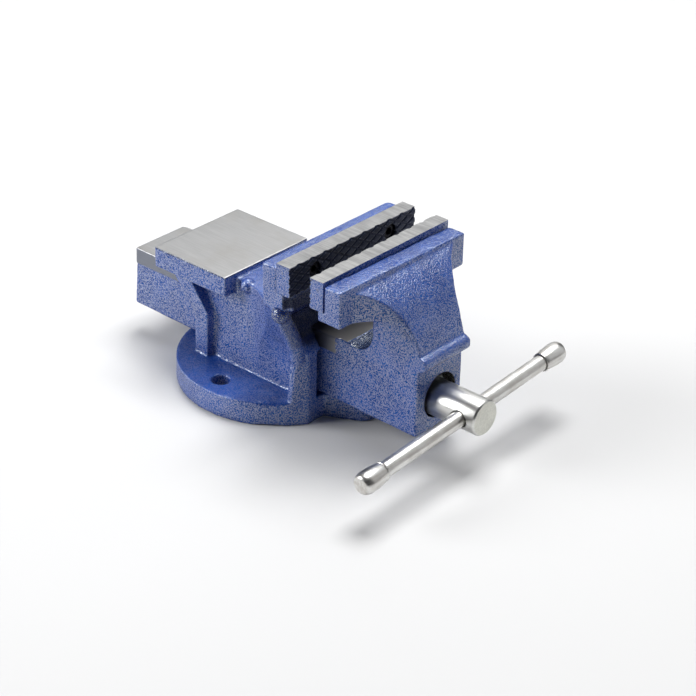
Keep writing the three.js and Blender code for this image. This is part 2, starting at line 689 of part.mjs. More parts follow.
// The hole through the screw's head that the handle bar slides in.
function crossHoleSolid() {
  const length = 4 * HEAD_RADIUS;
  const geometry = new THREE.CylinderGeometry(CROSS_HOLE_RADIUS, CROSS_HOLE_RADIUS, length, BORE_STEPS);
  return toSolid(geometry.rotateX(BAR_TILT).translate(BAR_X, 0, AXIS_Z));
}

// The hole for the cross pin, through the collar and the screw.
function pinHoleSolid() {
  const reach = COLLAR_RADIUS + BITE;
  return rodY(PIN_HOLE_RADIUS, COLLAR_REAR + COLLAR_LENGTH / 2, AXIS_Z, -reach, reach, PIN_STEPS);
}

function leadScrewSolid() {
  const screw = turnedAlongX([
    [SCREW_REAR, 0],
    [SCREW_REAR, SCREW_RADIUS - SCREW_END_CHAMFER],
    [SCREW_REAR + SCREW_END_CHAMFER, SCREW_RADIUS],
    [SHOULDER_FACE_X, SCREW_RADIUS],
    [SHOULDER_FACE_X, HEAD_RADIUS - HEAD_EDGE],
    [SHOULDER_FACE_X + HEAD_EDGE, HEAD_RADIUS],
    [SCREW_FRONT - HEAD_EDGE, HEAD_RADIUS],
    [SCREW_FRONT, HEAD_RADIUS - HEAD_EDGE],
    [SCREW_FRONT, 0],
  ], TURNED_STEPS);
  return screw.subtract(crossHoleSolid()).subtract(pinHoleSolid());
}

function handleGroup() {
  const group = new THREE.Group();
  group.position.set(BAR_X, 0, AXIS_Z);
  group.rotation.x = BAR_TILT;
  const half = BAR_LENGTH / 2;
  const barEnd = half - CAP_LENGTH + CAP_BORE_DEPTH - GAP;
  const bar = rodY(BAR_RADIUS, 0, 0, BAR_SHIFT - barEnd, BAR_SHIFT + barEnd);
  group.add(named('handle_bar', bar, BRIGHT_ZINC));
  for (const [name, way] of [['handle_cap_near', -1], ['handle_cap_far', 1]]) {
    const cap = named(name, capSolid(), BRIGHT_ZINC);
    cap.position.set(0, BAR_SHIFT + way * (half - CAP_LENGTH), 0);
    cap.rotation.x = way > 0 ? 0 : Math.PI;
    group.add(cap);
  }
  return group;
}

// A hollow end cap, mouth at the origin, growing along +Y.
function capSolid() {
  const bore = BAR_RADIUS + GAP;
  const seam = CAP_MOUTH_RADIUS + CAP_SEAM_RISE;
  const points = [
    [bore, 0],
    [CAP_MOUTH_RADIUS, 0],
    [seam, CAP_SEAM_LENGTH],
  ];
  for (let step = 0; step <= CAP_STEPS; step++) {
    const part = step / CAP_STEPS;
    points.push([
      seam + (CAP_RADIUS - seam) * Math.sin(part * Math.PI / 2),
      CAP_LIP + part * (CAP_LENGTH - CAP_ROUND - CAP_LIP),
    ]);
  }
  for (let step = 1; step <= CAP_STEPS; step++) {
    const angle = step / CAP_STEPS * CAP_ROUND_ANGLE;
    points.push([
      CAP_END_RADIUS + (CAP_RADIUS - CAP_END_RADIUS) * Math.cos(angle),
      CAP_LENGTH - CAP_ROUND + (CAP_ROUND - CAP_END_FALL) * Math.sin(angle) / Math.sin(CAP_ROUND_ANGLE),
    ]);
  }
  points.push([CAP_END_RADIUS, CAP_LENGTH]);
  points.push([0, CAP_LENGTH]);
  points.push([0, CAP_BORE_DEPTH]);
  points.push([bore, CAP_BORE_DEPTH]);
  points.push([bore, 0]);
  return toSolid(new THREE.LatheGeometry(points.map(([r, y]) => new THREE.Vector2(r, y)), CAP_SIDES));
}

class SpringCurve extends THREE.Curve {
  getPoint(t, target = new THREE.Vector3()) {
    const angle = t * SPRING_TURNS * 2 * Math.PI;
    const x = SPRING_REAR + SPRING_WIRE + t * (SPRING_FRONT - SPRING_REAR - 2 * SPRING_WIRE);
    return target.set(x, SPRING_MEAN * Math.cos(angle), AXIS_Z + SPRING_MEAN * Math.sin(angle));
  }
}

function springSolid() {
  const wire = new THREE.Shape();
  wire.absarc(0, 0, SPRING_WIRE, 0, 2 * Math.PI, false);
  const geometry = new THREE.ExtrudeGeometry(wire, {
    extrudePath: new SpringCurve(),
    steps: SPRING_STEPS,
    curveSegments: WIRE_STEPS,
    bevelEnabled: false,
  });
  return toSolid(geometry);
}

function washerSolid(radius, rear) {
  return ring(radius, SHAFT_CLEARANCE, rear, rear + WASHER_THICK);
}

function collarSolid() {
  const collar = ring(COLLAR_RADIUS, SHAFT_CLEARANCE, COLLAR_REAR, COLLAR_REAR + COLLAR_LENGTH);
  return collar.subtract(pinHoleSolid());
}

function pinSolid() {
  const reach = COLLAR_RADIUS - PIN_INSET;
  return rodY(PIN_RADIUS, COLLAR_REAR + COLLAR_LENGTH / 2, AXIS_Z, -reach, reach, PIN_STEPS);
}

// ---- nut and its bolts ----

function nutSolid() {
  const low = BASE_HEIGHT + GAP;
  let nut = alongX(outline([
    [-NUT_HALF, low],
    [NUT_HALF, low],
    [0, AXIS_Z, NUT_HALF, 0, Math.PI],
  ]), NUT_REAR, NUT_FRONT);
  nut = nut.subtract(rodX(SHAFT_CLEARANCE, NUT_REAR - BITE, NUT_FRONT + BITE, 0, AXIS_Z));
  for (const x of NUT_BOLT_XS) {
    nut = nut.subtract(rodZ(NUT_BOLT_RADIUS + GAP, x, 0, 0, NUT_BOLT_TOP + GAP, SMALL_STEPS));
  }
  return nut;
}

function nutBoltSolid(x) {
  const head = rodZ(NUT_BOLT_HEAD_RADIUS, x, 0, NUT_BOLT_HEAD_LOW, NUT_BOLT_HEAD_HIGH, HEX_SIDES);
  return head.add(rodZ(NUT_BOLT_RADIUS, x, 0, NUT_BOLT_HEAD_HIGH - BITE, NUT_BOLT_TOP, SMALL_STEPS));
}

function nutWasherSolid(x) {
  const low = NUT_BOLT_HEAD_HIGH + GAP;
  const high = RECESS_TOP - GAP;
  const disc = rodZ(NUT_WASHER_RADIUS, x, 0, low, high, SMALL_STEPS);
  return disc.subtract(rodZ(NUT_BOLT_RADIUS + GAP, x, 0, low - BITE, high + BITE, SMALL_STEPS));
}

// ---- the vise ----

const vise = new THREE.Group();

function add(name, solid, material) {
  vise.add(named(name, solid, material));
}

add('body', bodySolid(), BLUE_PAINT);
add('slide', slideSolid(), BLUE_PAINT);
add('fixed_jaw_plate', jawPlateSolid(GRIP_X, -1), PLATE_STEEL);
add('moving_jaw_plate', jawPlateSolid(MOVING_GRIP_X, 1), PLATE_STEEL);
for (const [end, y] of [['near', -PLATE_BOLT_Y], ['far', PLATE_BOLT_Y]]) {
  add(`fixed_plate_screw_${end}`, plateScrewSolid(GRIP_X, -1, y), DARK_STEEL);
  add(`moving_plate_screw_${end}`, plateScrewSolid(MOVING_GRIP_X, 1, y), DARK_STEEL);
}
add('lead_screw', leadScrewSolid(), BRIGHT_ZINC);
add('thrust_washer', washerSolid(THRUST_RADIUS, COUNTERBORE_X + GAP), BRIGHT_ZINC);
add('retaining_spring', springSolid(), DARK_STEEL);
add('retaining_washer', washerSolid(RETAINER_RADIUS, RETAINER_REAR), BRIGHT_ZINC);
add('retaining_collar', collarSolid(), NUT_IRON);
add('retaining_pin', pinSolid(), DARK_STEEL);
add('main_nut', nutSolid(), NUT_IRON);
for (const [end, x] of [['rear', NUT_BOLT_XS[0]], ['front', NUT_BOLT_XS[1]]]) {
  add(`nut_bolt_${end}`, nutBoltSolid(x), DARK_STEEL);
  add(`nut_washer_${end}`, nutWasherSolid(x), BRIGHT_ZINC);
}
vise.add(handleGroup());

export default vise;
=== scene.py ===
"""Looks for the bench vise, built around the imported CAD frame.

Metres, +Z up, +X towards the handle; the origin is the centre of the round base's underside.
Places and sizes written as numbers are in mm in that frame; the studio's are in metres.
"""

import json
import math

import bmesh
import bpy
import numpy as np
from mathutils import Matrix, Vector, noise


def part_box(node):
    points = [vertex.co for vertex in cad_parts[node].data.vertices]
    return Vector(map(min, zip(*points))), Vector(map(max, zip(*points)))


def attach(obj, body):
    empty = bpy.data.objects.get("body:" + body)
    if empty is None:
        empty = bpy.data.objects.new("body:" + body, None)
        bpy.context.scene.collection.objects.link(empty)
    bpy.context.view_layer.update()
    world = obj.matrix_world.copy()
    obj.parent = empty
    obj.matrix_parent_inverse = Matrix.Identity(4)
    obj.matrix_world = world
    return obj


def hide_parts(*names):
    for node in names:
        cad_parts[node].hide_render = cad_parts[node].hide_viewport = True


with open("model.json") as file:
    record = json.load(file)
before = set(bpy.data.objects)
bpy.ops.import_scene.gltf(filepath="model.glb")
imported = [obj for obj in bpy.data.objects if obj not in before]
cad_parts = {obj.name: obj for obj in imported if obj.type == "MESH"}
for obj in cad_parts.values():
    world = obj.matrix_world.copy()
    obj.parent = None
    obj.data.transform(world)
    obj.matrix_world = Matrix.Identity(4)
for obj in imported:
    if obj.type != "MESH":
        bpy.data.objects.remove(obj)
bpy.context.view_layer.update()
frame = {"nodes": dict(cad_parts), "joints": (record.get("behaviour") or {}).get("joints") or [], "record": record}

MM = 0.001


# ---- places on the castings ----

# A pair is where something fades in or out, or the two ends of a zone.
PAD_EDGE = (-8.6, -8.0)           # x where the anvil pad ends
PAD_SKIN = (69.45, 69.6)          # z where its ground top begins
PAD_LINE = (68.9, 69.5)           # z of the dark line under the ground top
PAD_SHARP_X, PAD_SHARP_Z = (-6, -9), (67.5, 69)    # where its edges keep their sharpness
PAD_EVEN_Z = (68.6, 69.4)                          # and its face is not uneven
SWEEP_X, SWEEP_X_END = (27, 33), (41, 38)          # where the walls run up to the fixed jaw
SWEEP_Y, SWEEP_Z = (24.5, 29), (88, 78)
RECESS_X, RECESS_X_END, RECESS_Y = (-31, -27), (-14, -18), (31, 29)    # in front of the ribs
BASE_TOP = (17, 14.5)             # z down to the top of the round base
BOSS = (45.4, 47.4, 73.7)         # middle of the far boss at the top of a front post
BOSS_RADIUS = 5.0
BOSS_CORE = 0.3                   # points nearer its middle than this stay
BOSS_INNER = -2                   # the half ball reaches this far back towards the vise's middle
BOSS_EDGE = (0.1, 0.6)            # beyond the boss's radius
BOSS_REAR = (41, 42)              # x where the boss comes out of the frame
RIDGE_Z = (50, 74)                # the ridges down the front posts
RIDGE_FRONT = (43.5, 45.5)        # x
WEB_Z = (47, 86)                  # the wall between the ridges, with the notch above it
WEB_FRONT = (40.5, 42.0)          # x
WEB_FOOT, WEB_HALF, WEB_LEAN = 46.6, 28.0, 0.53    # z, half width there, and its growth upwards
NOTCH_Z = (77, 79)
BEAM_SKIN = (53.45, 53.6)         # z where the beam's ground top begins
BEAM_ABOVE = (54.0, 54.4)         # z where the beam's ground parts have ended
BEAM_FRONT = (66.4, 67.0)         # x where the ground top ends
RAIL_SIDE = (18.8, 19.1)          # distance from the middle to a rail's side
RAIL_FOOT = (43.6, 44.6)          # z where a rail's ground side begins
RAIL_FRONT = (61.6, 62.2)         # x where it ends, before the paint's ragged edge is added
RAIL_Z, RAIL_Z_END = (42.5, 43.5), (56, 55)        # the ground rails
RAIL_SHARP_X, RAIL_EVEN_X = (70, 67), (63, 61.5)
TROUGH_X, TROUGH_X_END, TROUGH_Z = (78, 84), (112, 106), (60, 64)      # in the shoulder
TROUGH_Y, TROUGH_HALF = 19, (6, 3)
IRON_SHADE_X = (30, 46)                  # x where painted shade starts to darken the ground iron, in under the jaws
IRON_SHADE_FADE = (44, 67)              # x over which the painted shade grows light again towards the throat
POCKET = (1.5, 32.4)              # y and z of the counterbore for the screw's head
POCKET_WALL = (13.1, 13.3)        # radius
POCKET_FLOOR = (104, 105)         # x
POCKET_MOUTH = (114.0, 114.5)     # x
SCOOP_X, SCOOP_Z = (67.2, 83.2), (51, 60)          # the hollow in the throat
JAW_CORNER_Y, JAW_CORNER_Z = (45, 49), (96, 100)   # the jaws' upper corners wear more


# ---- camera ----

# Solved from the photo's straight edges and circles.
CAMERA_ANGLES = (40.7293, 29.6403, 1.362)          # azimuth, elevation and roll, in degrees
CAMERA_FROM = (54, 0, 104.5)                       # middle of the jaws' top
CAMERA_PLACE = (-3.4725, -58.2444, 1166.385)       # from there: right, up and back
CAMERA_LENS, CAMERA_SENSOR = 115.0, 36
CAMERA_REACH = 50                                  # metres


def make_camera():
    azimuth, elevation, roll = map(math.radians, CAMERA_ANGLES)
    back = Vector((
        math.sin(azimuth) * math.cos(elevation),
        -math.cos(azimuth) * math.cos(elevation),
        math.sin(elevation),
    ))
    level = Vector((math.cos(azimuth), math.sin(azimuth), 0))
    upright = back.cross(level)
    right = math.cos(roll) * level + math.sin(roll) * upright
    up = math.cos(roll) * upright - math.sin(roll) * level
    data = bpy.data.cameras.new("camera")
    data.sensor_width = CAMERA_SENSOR
    data.lens = CAMERA_LENS
    data.clip_end = CAMERA_REACH
    camera = bpy.data.objects.new("camera", data)
    bpy.context.scene.collection.objects.link(camera)
    aside, above, behind = CAMERA_PLACE
    place = right * aside + up * above + back * behind + Vector(CAMERA_FROM)
    turn = Matrix((right, up, back)).transposed()
    camera.matrix_world = Matrix.Translation(place * MM) @ turn.to_4x4()
    bpy.context.scene.camera = camera


# ---- material helpers ----

class Nodes:
    """A short way to write a material's nodes; its x, y, z are object coordinates in mm."""

    def __init__(self, name):
        self.material = bpy.data.materials.new(name)
        self.material.use_nodes = True
        self.tree = self.material.node_tree
        self.shader = self.tree.nodes["Principled BSDF"]
        coords = self.tree.nodes.new("ShaderNodeTexCoord")
        scale = self.tree.nodes.new("ShaderNodeVectorMath")
        scale.operation = "SCALE"
        scale.inputs["Scale"].default_value = 1 / MM
        self.tree.links.new(coords.outputs["Object"], scale.inputs[0])
        self.mm = scale.outputs[0]
        split = self.tree.nodes.new("ShaderNodeSeparateXYZ")
        self.tree.links.new(self.mm, split.inputs[0])
        self.x, self.y, self.z = split.outputs

    def put(self, value, socket):
        if isinstance(value, bpy.types.NodeSocket):
            self.tree.links.new(value, socket)
        elif value is not None:
            socket.default_value = value

    def set(self, name, value):
        self.put(value, self.shader.inputs[name])

    def math(self, operation, *values):
        node = self.tree.nodes.new("ShaderNodeMath")
        node.operation = operation
        for value, socket in zip(values, node.inputs):
            self.put(value, socket)
        return node.outputs[0]

    def times(self, first, *others):
        for other in others:
            first = self.math("MULTIPLY", first, other)
        return first

    def rest(self, share):
        """What a share leaves of 1."""
        return self.math("SUBTRACT", 1.0, share)

    def absolute(self, value):
        return self.math("ABSOLUTE", value)

    def squared(self, value, centre):
        away = self.math("SUBTRACT", value, centre)
        return self.times(away, away)

    def ramp(self, value, low, high, to_low=0.0, to_high=1.0):
        node = self.tree.nodes.new("ShaderNodeMapRange")
        node.interpolation_type = "SMOOTHSTEP"
        for value_in, socket in zip((value, low, high, to_low, to_high), node.inputs):
            self.put(value_in, socket)
        return node.outputs[0]

    def fall(self, value, low, high):
        return self.ramp(value, low, high, 1.0, 0.0)

    def inside(self, value, low, high, soft):
        """1 between low and high, fading out over soft."""
        up = self.ramp(value, low - soft, low + soft)
        return self.times(up, self.fall(value, high - soft, high + soft))

    def stretched(self, factors):
        node = self.tree.nodes.new("ShaderNodeVectorMath")
        node.operation = "MULTIPLY"
        self.put(self.mm, node.inputs[0])
        node.inputs[1].default_value = factors
        return node.outputs[0]

    def noise(self, scale, detail=2.0, rough=0.5, warp=0.0, vector=None):
        node = self.tree.nodes.new("ShaderNodeTexNoise")
        self.put(vector or self.mm, node.inputs["Vector"])
        node.inputs["Scale"].default_value = scale
        node.inputs["Detail"].default_value = detail
        node.inputs["Roughness"].default_value = rough
        node.inputs["Distortion"].default_value = warp
        return node.outputs[0]

    def mixed(self, kind, first_input, output, share, a, b):
        node = self.tree.nodes.new("ShaderNodeMix")
        node.data_type = kind
        self.put(share, node.inputs[0])
        self.put(a, node.inputs[first_input])
        self.put(b, node.inputs[first_input + 1])
        return node.outputs[output]

    def mix(self, share, a, b):
        """A mix of two colours."""
        return self.mixed("RGBA", 6, 2, share, a, b)

    def blend(self, share, a, b):
        """A mix of two values."""
        return self.mixed("FLOAT", 2, 0, share, a, b)

    def mix_vectors(self, share, a, b):
        return self.mixed("VECTOR", 4, 1, share, a, b)

    def bump(self, height, strength, distance):
        node = self.tree.nodes.new("ShaderNodeBump")
        node.inputs["Strength"].default_value = strength
        node.inputs["Distance"].default_value = distance * MM
        self.put(height, node.inputs["Height"])
        return node.outputs[0]

    def pointiness(self):
        return self.tree.nodes.new("ShaderNodeNewGeometry").outputs["Pointiness"]

    def normal(self, axis):
        coords = self.tree.nodes.new("ShaderNodeTexCoord")
        split = self.tree.nodes.new("ShaderNodeSeparateXYZ")
        self.put(coords.outputs["Normal"], split.inputs[0])
        return split.outputs["XYZ".index(axis)]


def srgb(r, g, b):
    def linear(v):
        v /= 255
        return v / 12.92 if v <= 0.04045 else ((v + 0.055) / 1.055) ** 2.4
    return (linear(r), linear(g), linear(b), 1.0)


# ---- materials ----

ENAMEL = (srgb(12, 54, 128), srgb(20, 65, 145))
WORM = srgb(132, 142, 192)
WORM_AND_SHEEN_SHARE = (0.55, 0.14)                  # on upright faces and on faces that look up; more on upright faces as a painted reflection of the bright floor
PAINT_IOR = 2.0
PAINT_TINT = (0.84, 0.92, 1.0, 1.0)
PAINT_SHINE = (0.15, 1.0)                  # between the worms and on them
WORN_EDGE = srgb(70, 70, 74)
CORNER_WEAR = 0.08
LINE_DARK = srgb(34, 34, 48)
# painted shade in the gap between the jaws: its colour, how much it covers and how much it dulls the shine
PAINTED_SHADE = srgb(22, 20, 26)
PAINTED_SHADE_COVER, PAINTED_SHADE_DULLS = 0.85, 0.8
# painted dark reflection on the bosses and painted shade on the ridges' +X faces, and how much of each
PAINTED_SHADE_BLUE = srgb(16, 36, 100)
BOSS_SHADE_COVER, RIDGE_SHADE_COVER = 0.85, 0.7
BASE_DULLS = 0.65
SCOOP_GREY, SCOOP_COVER = srgb(60, 68, 78), 0.6
POCKET_TONES = (srgb(44, 42, 40), srgb(92, 90, 84))
IRON_TONES = (srgb(168, 167, 166), srgb(180, 179, 178))
IRON_STAIN, STAIN_COVER = srgb(160, 155, 147), 0.35
RAIL_TONE = srgb(128, 131, 140)
# painted shade on the ground iron under the jaws: its dark and light tones and how much it covers
IRON_SHADE_TONES, IRON_SHADE_COVER = (srgb(84, 84, 92), srgb(140, 139, 138)), 0.8
RAGGED = 5.0                               # how far the paint's edge wanders on a rail
HATCH_TONES = (srgb(24, 31, 54), srgb(46, 52, 74))
HATCH_RUBBED, RUB_COVER = srgb(140, 144, 156), 0.55


def hammer_paint(n):
    """Colour, roughness, worm pattern and normal of the hammered enamel; the colour holds a painted reflection on
    upright faces.
    """
    cells = n.noise(1.4, detail=1.0, rough=0.45, warp=0.5)
    fine = n.noise(2.6, detail=1.0)
    patches = n.ramp(n.noise(0.06, detail=3.0), 0.35, 0.65)
    broken = n.math("MULTIPLY_ADD", n.math("SUBTRACT", fine, 0.5), 0.35, cells)
    worms = n.ramp(broken, 0.43, 0.57)
    # painted reflection: upright faces carry more of the pale worms than faces that look up, standing in for the
    # bright floor they reflect
    share = n.times(worms, n.ramp(n.normal("Z"), 0.2, 0.8, *WORM_AND_SHEEN_SHARE))
    colour = n.mix(share, n.mix(patches, *ENAMEL), WORM)
    rough = n.ramp(fine, 0.3, 0.7, 0.14, 0.26)
    height = n.math("MULTIPLY_ADD", fine, 0.3, cells)
    return colour, rough, worms, n.bump(height, 0.8, 0.42)


def bare_iron(n):
    """Colour, roughness and normal of ground iron with fine scratches along X."""
    scratches = n.noise(2.2, detail=3.0, rough=0.6, vector=n.stretched((0.03, 1, 1)))
    stains = n.noise(0.05, detail=3.0)
    colour = n.mix(n.ramp(scratches, 0.3, 0.7), *IRON_TONES)
    colour = n.mix(n.ramp(stains, 0.45, 0.75, 0.0, STAIN_COVER), colour, IRON_STAIN)
    return colour, n.ramp(scratches, 0.3, 0.7, 0.40, 0.48), n.bump(scratches, 0.06, 0.03)


def fine_specks(n):
    return n.noise(1.1, detail=2.0)


def edge_wear(n):
    """Paint worn off the sharpest edges, most of all at the jaws' upper corners."""
    chips = n.noise(0.55, detail=3.0, rough=0.65)
    sharp = n.ramp(n.pointiness(), 0.55, 0.62)
    corner = n.times(n.ramp(n.absolute(n.y), *JAW_CORNER_Y), n.ramp(n.z, *JAW_CORNER_Z))
    return n.times(sharp, n.ramp(n.math("MULTIPLY_ADD", corner, CORNER_WEAR, chips), 0.6, 0.66))


def web_painted_shade(n):
    """Painted shade on the wall between the front posts' ridges and in the notch above it, on faces turned to +X,
    in the deep gap between the jaws.
    """
    half = n.math("MULTIPLY_ADD", n.math("SUBTRACT", n.z, WEB_FOOT), WEB_LEAN, WEB_HALF)
    between = n.math("SUBTRACT", half, n.absolute(n.y))
    web = n.math("MAXIMUM", n.ramp(between, -1.0, 1.5), n.ramp(n.z, *NOTCH_Z))
    web = n.times(web, n.times(n.ramp(n.x, *WEB_FRONT), n.ramp(n.normal("X"), 0.2, 0.5)))
    return n.times(web, n.inside(n.z, *WEB_Z, 3.0))


def boss_and_ridge_shade(n):
    """How much darker the blue is painted: a painted dark reflection on the posts' bosses, and painted shade on
    the ridges' faces turned to +X.
    """
    out = n.math("SUBTRACT", n.absolute(n.y), BOSS[1])
    reach = n.math("ADD", n.squared(n.x, BOSS[0]), n.squared(n.z, BOSS[2]))
    reach = n.math("MULTIPLY_ADD", out, out, reach)
    boss = n.fall(reach, *((BOSS_RADIUS + edge) ** 2 for edge in BOSS_EDGE))
    boss = n.times(boss, n.ramp(n.x, *BOSS_REAR))
    ridge = n.times(n.ramp(n.normal("X"), 0.35, 0.6), n.inside(n.z, *RIDGE_Z, 2.0))
    ridge = n.times(ridge, n.times(n.ramp(n.x, *RIDGE_FRONT), RIDGE_SHADE_COVER))
    return n.math("MAXIMUM", n.times(boss, BOSS_SHADE_COVER), ridge)


def body_look(n, paint, shine, iron):
    """Adds a dark line under the anvil pad, painted shade between the jaws and on the ridges, a painted dark
    reflection on the bosses and a dull base; bares the pad.
    """
    on_pad = n.fall(n.x, *PAD_EDGE)
    line = n.times(n.inside(n.z, *PAD_LINE, 0.12), on_pad)
    line = n.times(line, n.ramp(fine_specks(n), 0.62, 0.70, 0.9, 0.0))
    paint = n.mix(line, paint, LINE_DARK)
    # painted shade in the deep gap between the jaws, on the front web and in the notch
    web_shade = web_painted_shade(n)
    paint = n.mix(n.times(web_shade, PAINTED_SHADE_COVER), paint, PAINTED_SHADE)
    # painted dark reflection on the bosses, painted shade on the ridges' +X faces
    paint = n.mix(boss_and_ridge_shade(n), paint, PAINTED_SHADE_BLUE)
    base_top = n.times(n.ramp(n.z, *BASE_TOP), n.ramp(n.normal("Z"), 0.5, 0.9))
    shine = n.times(shine, n.rest(n.times(web_shade, PAINTED_SHADE_DULLS)))
    shine = n.times(shine, n.rest(n.times(base_top, BASE_DULLS)))
    bare = n.times(n.ramp(n.z, *PAD_SKIN), on_pad, n.ramp(n.normal("Z"), 0.6, 0.9))
    return paint, shine, iron, bare


def slide_look(n, paint, shine, iron):
    """Adds painted shade on the ground iron under the jaws, a grey scoop in the throat and a dark screw pocket;
    bares the beam and rails.
    """
    upright = n.fall(n.absolute(n.normal("Z")), 0.4, 0.7)
    iron = n.mix(upright, iron, RAIL_TONE)
    # painted shade: the ground iron darkens in under the jaws and grows light again towards the throat
    iron_shade = n.mix(n.ramp(n.x, *IRON_SHADE_FADE), *IRON_SHADE_TONES)
    iron = n.mix(n.times(n.ramp(n.x, *IRON_SHADE_X), IRON_SHADE_COVER), iron, iron_shade)
    scoop = n.times(n.inside(n.x, *SCOOP_X, 0.3), n.inside(n.z, *SCOOP_Z, 1.0))
    scoop = n.times(scoop, n.fall(n.absolute(n.normal("Y")), 0.4, 0.8))
    paint = n.mix(n.times(scoop, SCOOP_COVER), paint, SCOOP_GREY)
    reach = n.math("ADD", n.squared(n.y, POCKET[0]), n.squared(n.z, POCKET[1]))
    pocket = n.fall(reach, *(radius ** 2 for radius in POCKET_WALL))
    pocket = n.times(pocket, n.ramp(n.x, *POCKET_FLOOR), n.fall(n.x, *POCKET_MOUTH))
    paint = n.mix(pocket, paint, n.mix(n.ramp(fine_specks(n), 0.4, 0.6), *POCKET_TONES))
    below = n.fall(n.z, *BEAM_ABOVE)
    top = n.times(n.ramp(n.z, *BEAM_SKIN), n.fall(n.x, *BEAM_FRONT), below)
    ragged = n.math("MULTIPLY_ADD", n.noise(0.9, detail=2.0), RAGGED, n.x)
    side = n.times(n.ramp(n.absolute(n.y), *RAIL_SIDE), n.ramp(n.z, *RAIL_FOOT))
    side = n.times(side, n.fall(ragged, *RAIL_FRONT), below)
    return paint, shine, iron, n.math("MAXIMUM", top, side)


def casting_material(name, look=None):
    """Hammered paint with worn edges; look, if given, adds what belongs to one casting.

    It returns the paint's colour and shine, the iron's colour, and where the iron is bare.
    """
    n = Nodes(name)
    paint, paint_rough, worms, paint_normal = hammer_paint(n)
    paint = n.mix(edge_wear(n), paint, WORN_EDGE)
    shine = n.ramp(worms, 0.0, 1.0, *PAINT_SHINE)
    iron, iron_rough, iron_normal = bare_iron(n)
    bare = 0.0
    if look:
        paint, shine, iron, bare = look(n, paint, shine, iron)
    n.set("Base Color", n.mix(bare, paint, iron))
    n.set("Roughness", n.blend(bare, paint_rough, iron_rough))
    n.set("Metallic", bare)
    n.set("IOR", PAINT_IOR)
    n.set("Specular Tint", PAINT_TINT)
    n.set("Specular IOR Level", shine)
    n.set("Normal", n.mix_vectors(bare, paint_normal, iron_normal))
    return n.material


def metal_material(name, low, high, rough, stretch=(1, 1, 1), scale=1.6, bump=0.05):
    """Plain metal, with faint streaks along the axis where stretch is small."""
    n = Nodes(name)
    streaks = n.noise(scale, detail=3.0, rough=0.55, vector=n.stretched(stretch))
    tone = n.blend(0.4, streaks, n.noise(0.12, detail=3.0))
    n.set("Base Color", n.mix(n.ramp(tone, 0.3, 0.7), srgb(*low), srgb(*high)))
    n.set("Roughness", n.ramp(streaks, 0.3, 0.7, *rough))
    n.set("Metallic", 1.0)
    if bump:
        n.set("Normal", n.bump(streaks, bump, 0.03))
    return n.material


def hatched_steel():
    """The dark faces of the jaw plates, brighter where work has rubbed the ridges."""
    n = Nodes("hatched_steel")
    grain = n.noise(1.4, detail=4.0, rough=0.65)
    rub = n.times(n.ramp(n.pointiness(), 0.51, 0.56), n.ramp(grain, 0.4, 0.6), RUB_COVER)
    n.set("Base Color", n.mix(rub, n.mix(grain, *HATCH_TONES), HATCH_RUBBED))
    n.set("Roughness", n.ramp(grain, 0.3, 0.7, 0.38, 0.55))
    n.set("Metallic", 0.7)
    n.set("Normal", n.bump(grain, 0.3, 0.1))
    return n.material


# ---- mesh helpers ----

SHARP_ANGLE = 32                  # degrees; a sharper bend between two faces shows as an edge


def box_mm(node):
    """A CAD node's low and high corners in mm."""
    return [np.array(corner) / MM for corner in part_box(node)]


def new_object(name, mesh, body, node, slot):
    piece = bpy.data.objects.new(name, mesh)
    bpy.context.scene.collection.objects.link(piece)
    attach(piece, body)
    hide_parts(node)


def mesh_from(name, points, faces):
    """A mesh from points in mm."""
    mesh = bpy.data.meshes.new(name)
    mesh.from_pydata([tuple(float(v) * MM for v in point) for point in points], [], faces)
    return mesh


def turn_outward(mesh, split_large=False):
    """Makes every face look outward, and with split_large cuts up those with many corners."""
    bm = bmesh.new()
    bm.from_mesh(mesh)
    bmesh.ops.recalc_face_normals(bm, faces=bm.faces)
    if split_large:
        bmesh.ops.triangulate(bm, faces=[f for f in bm.faces if len(f.verts) > 4])
    bm.to_mesh(mesh)
    bm.free()


def evaluated(mesh, name, kind, **settings):
    """The mesh after one modifier."""
    holder = bpy.data.objects.new(name, mesh)
    bpy.context.scene.collection.objects.link(holder)
    modifier = holder.modifiers.new(name, kind)
    for key, value in settings.items():
        setattr(modifier, key, value)
    graph = bpy.context.evaluated_depsgraph_get()
    made = bpy.data.meshes.new_from_object(holder.evaluated_get(graph))
    bpy.data.objects.remove(holder)
    return made


def of_vertices(mesh, what):
    values = np.empty(len(mesh.vertices) * 3)
    mesh.vertices.foreach_get(what, values)
    return values.reshape(-1, 3)


def step_up(value, low, high):
    """0 at low and 1 at high, with a smooth rise; low may be the larger of the two."""
    t = np.clip((value - low) / (high - low), 0, 1)
    return t * t * (3 - 2 * t)


def finished(mesh, materials, pick=None, angle=SHARP_ANGLE):
    """Sets materials, smooth faces and sharp edges; pick gives each face its material."""
    mesh.materials.clear()
    for material in materials:
        mesh.materials.append(material)
    for face in mesh.polygons:
        face.material_index = pick(face) if pick else 0
    mesh.shade_smooth()
    mesh.set_sharp_from_angle(angle=math.radians(angle))
    return mesh


# ---- castings ----

VOXEL, QUICK_VOXEL = 0.62, 1.2
CASTING_TRIANGLES = 185_000
SOFTENING = 0.5                   # share of the way to its neighbours' middle, each round
UNEVEN = ((0.10, 0.11), (0.05, 0.3))               # height and frequency of the waves
BODY_ROUNDS, SLIDE_ROUNDS = 4.5, 5.0
SWEEP_ROUNDS, RECESS_ROUNDS, TROUGH_ROUNDS = 36, 14, 20
GROUND_ROUNDS = 1.0               # where a face is machined


def softened(co, edges, rounds):
    """Smooths the points; each takes as many rounds as its own entry says."""
    count = len(co)
    a, b = edges[:, 0], edges[:, 1]
    degree = np.bincount(a, minlength=count) + np.bincount(b, minlength=count)
    for step in range(int(math.ceil(rounds.max()))):
        weight = np.clip(rounds - step, 0, 1)[:, None] * SOFTENING
        total = np.stack([
            np.bincount(a, co[b, k], count) + np.bincount(b, co[a, k], count)
            for k in range(3)
        ], axis=1)
        co = co + weight * (total / degree[:, None] - co)
    return co


